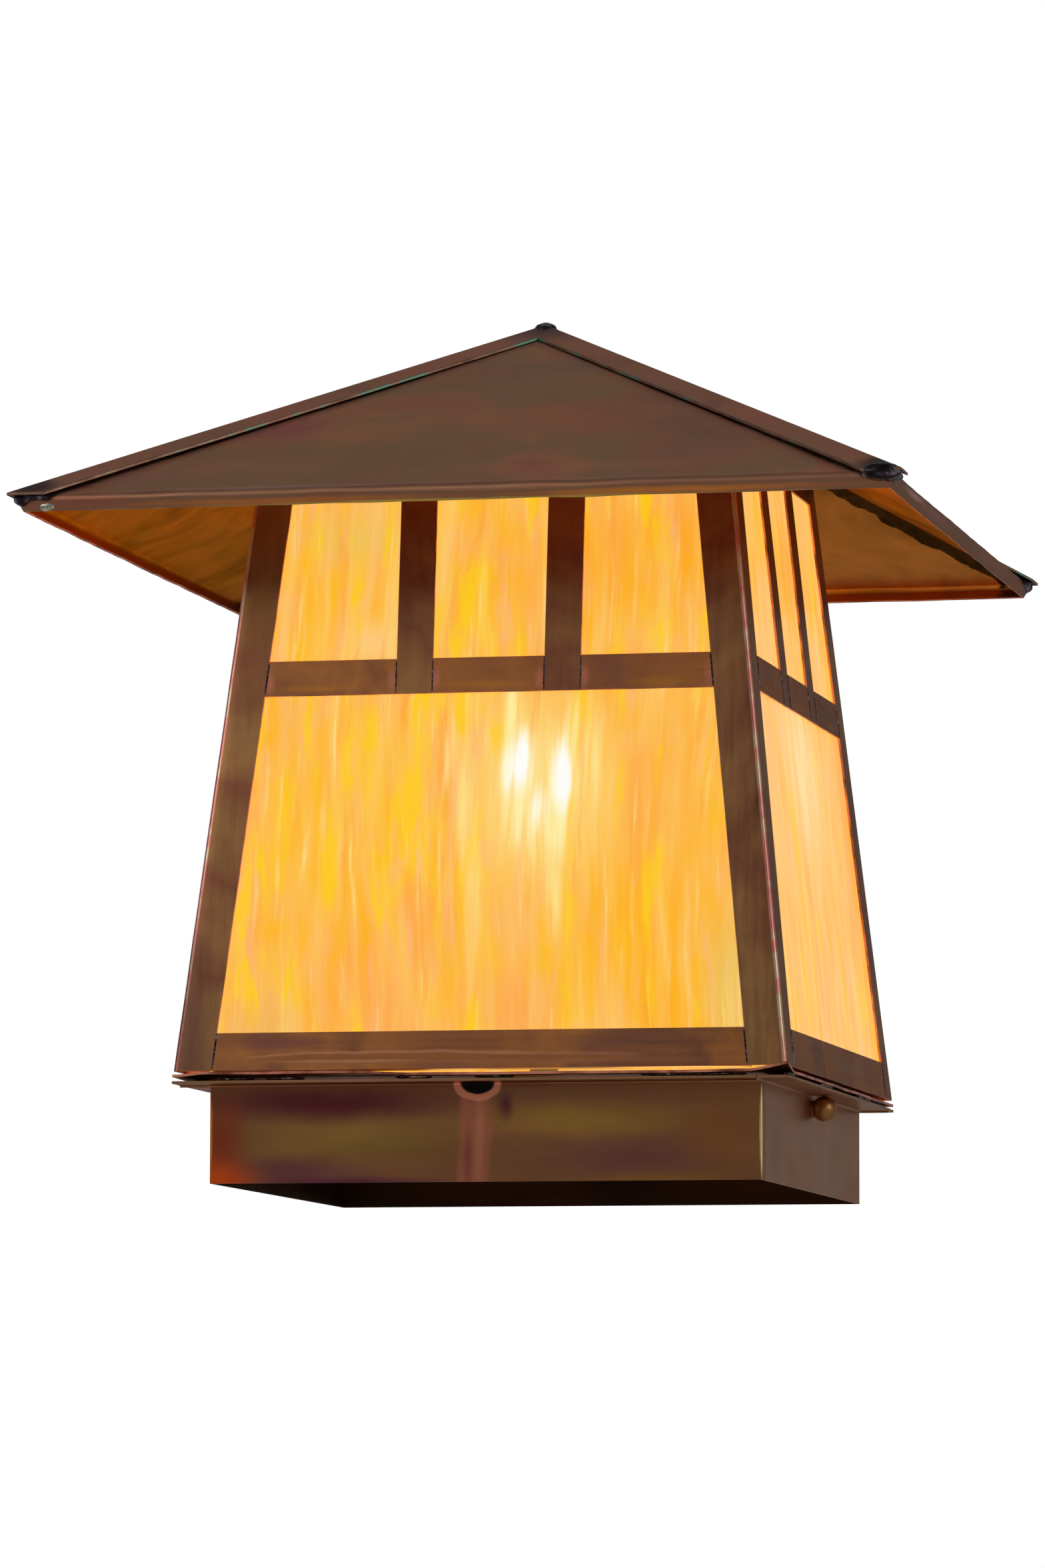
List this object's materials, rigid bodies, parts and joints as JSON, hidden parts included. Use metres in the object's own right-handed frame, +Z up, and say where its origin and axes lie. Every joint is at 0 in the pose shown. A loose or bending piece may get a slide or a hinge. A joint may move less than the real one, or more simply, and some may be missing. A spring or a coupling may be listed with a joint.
{
  "type": "post cap light",
  "caption": "Square post cap lantern with a hipped copper roof, leaning walls of streaky amber glass and a copper sleeve that slips over a timber post.",
  "frame": {"origin": "centre of the sleeve's bottom rim, which is the bottom centre of the whole light", "axes": "+Z up; the front, with the heat mark on its sleeve, faces -Y; the ball nuts are on +X and -X"},
  "size_m": [0.3116, 0.3116, 0.3144],
  "materials": {
    "patinated_copper": "heat-patinated copper sheet, dark brown with olive, maroon and violet tints",
    "tin_solder": "tin solder, dull grey and darkened",
    "amber_streaky_glass": "opalescent art glass with upright streaks of amber, honey and cream",
    "zinc_plated_steel": "zinc-plated steel",
    "green_zinc_steel": "green-coloured earthing screw",
    "aged_brass": "aged brass, satin",
    "bright_brass": "stamped brass",
    "black_phenolic": "moulded phenolic",
    "white_porcelain": "glazed porcelain",
    "black_glass": "black vitrite glass",
    "nickel_plate": "nickel-plated brass shell",
    "frosted_glass": "inside-frosted glass, lit",
    "clear_glass": "clear glass",
    "tungsten": "wire"
  },
  "bodies": {
    "post_base": {"sleeve_front": "patinated_copper", "sleeve_right": "patinated_copper", "sleeve_back": "patinated_copper", "sleeve_left": "patinated_copper", "base_plate": "patinated_copper", "base_plate_solder": "tin_solder", "crossbar": "zinc_plated_steel", "threaded_pipe": "zinc_plated_steel", "pipe_lock_nuts": "zinc_plated_steel", "pipe_lock_washer": "zinc_plated_steel", "ground_screw": "green_zinc_steel", "side_screws": "aged_brass", "lampholder_cap": "black_phenolic", "lampholder_body": "white_porcelain", "lampholder_shell": "bright_brass", "lampholder_contact": "bright_brass", "lampholder_terminal_screws": "bright_brass"},
    "lantern": {"bottom_rail_front": "patinated_copper", "bottom_rail_right": "patinated_copper", "bottom_rail_back": "patinated_copper", "bottom_rail_left": "patinated_copper", "mid_rail_front": "patinated_copper", "mid_rail_right": "patinated_copper", "mid_rail_back": "patinated_copper", "mid_rail_left": "patinated_copper", "mullions_front": "patinated_copper", "mullions_right": "patinated_copper", "mullions_back": "patinated_copper", "mullions_left": "patinated_copper", "glass_front": "amber_streaky_glass", "glass_right": "amber_streaky_glass", "glass_back": "amber_streaky_glass", "glass_left": "amber_streaky_glass", "roof_panel_front": "patinated_copper", "roof_panel_right": "patinated_copper", "roof_panel_back": "patinated_copper", "roof_panel_left": "patinated_copper", "corner_angle_front_right": "patinated_copper", "corner_angle_back_right": "patinated_copper", "corner_angle_back_left": "patinated_copper", "corner_angle_front_left": "patinated_copper", "hip_cap_front_right": "patinated_copper", "hip_cap_back_right": "patinated_copper", "hip_cap_back_left": "patinated_copper", "hip_cap_front_left": "patinated_copper", "top_rails": "patinated_copper", "glass_clips": "patinated_copper", "hanging_tabs": "patinated_copper", "roof_solder": "tin_solder"},
    "right_washer": {"knob_washer_right": "aged_brass"},
    "right_knob": {"ball_knob_right": "aged_brass"},
    "left_washer": {"knob_washer_left": "aged_brass"},
    "left_knob": {"ball_knob_left": "aged_brass"},
    "bulb_tip": {"bulb_foot_contact": "tin_solder", "bulb_insulator": "black_glass"},
    "bulb": {"bulb_screw_shell": "nickel_plate", "bulb_envelope": "frosted_glass", "bulb_stem": "clear_glass", "bulb_filament": "tungsten"}
  },
  "joints": [
    {"name": "lantern_lift", "type": "slide", "parent": "post_base", "child": "lantern", "axis": [0, 0, 1], "range_m": [0, 0.17]},
    {"name": "right_knob_travel", "type": "slide", "parent": "post_base", "child": "right_washer", "axis": [1, 0, 0], "range_m": [0, 0.00317]},
    {"name": "right_knob_turn", "type": "hinge", "parent": "right_washer", "child": "right_knob", "pos_m": [0.102, 0, 0.02948], "axis": [1, 0, 0], "range_deg": [0, 1440]},
    {"name": "left_knob_travel", "type": "slide", "parent": "post_base", "child": "left_washer", "axis": [-1, 0, 0], "range_m": [0, 0.00317]},
    {"name": "left_knob_turn", "type": "hinge", "parent": "left_washer", "child": "left_knob", "pos_m": [-0.102, 0, 0.02948], "axis": [-1, 0, 0], "range_deg": [0, 1440]},
    {"name": "bulb_travel", "type": "slide", "parent": "post_base", "child": "bulb_tip", "axis": [0, 0, 1], "range_m": [0, 0.0218]},
    {"name": "bulb_turn", "type": "hinge", "parent": "bulb_tip", "child": "bulb", "pos_m": [0, 0, 0.09], "axis": [0, 0, 1], "range_deg": [0, 2160]}
  ],
  "couplings": [
    {"joint": "right_knob_turn", "follows": "right_knob_travel", "rad_per_m": 7913.3},
    {"joint": "left_knob_turn", "follows": "left_knob_travel", "rad_per_m": 7913.3},
    {"joint": "bulb_travel", "follows": "bulb_turn", "m_per_rad": 0.00057773}
  ]
}
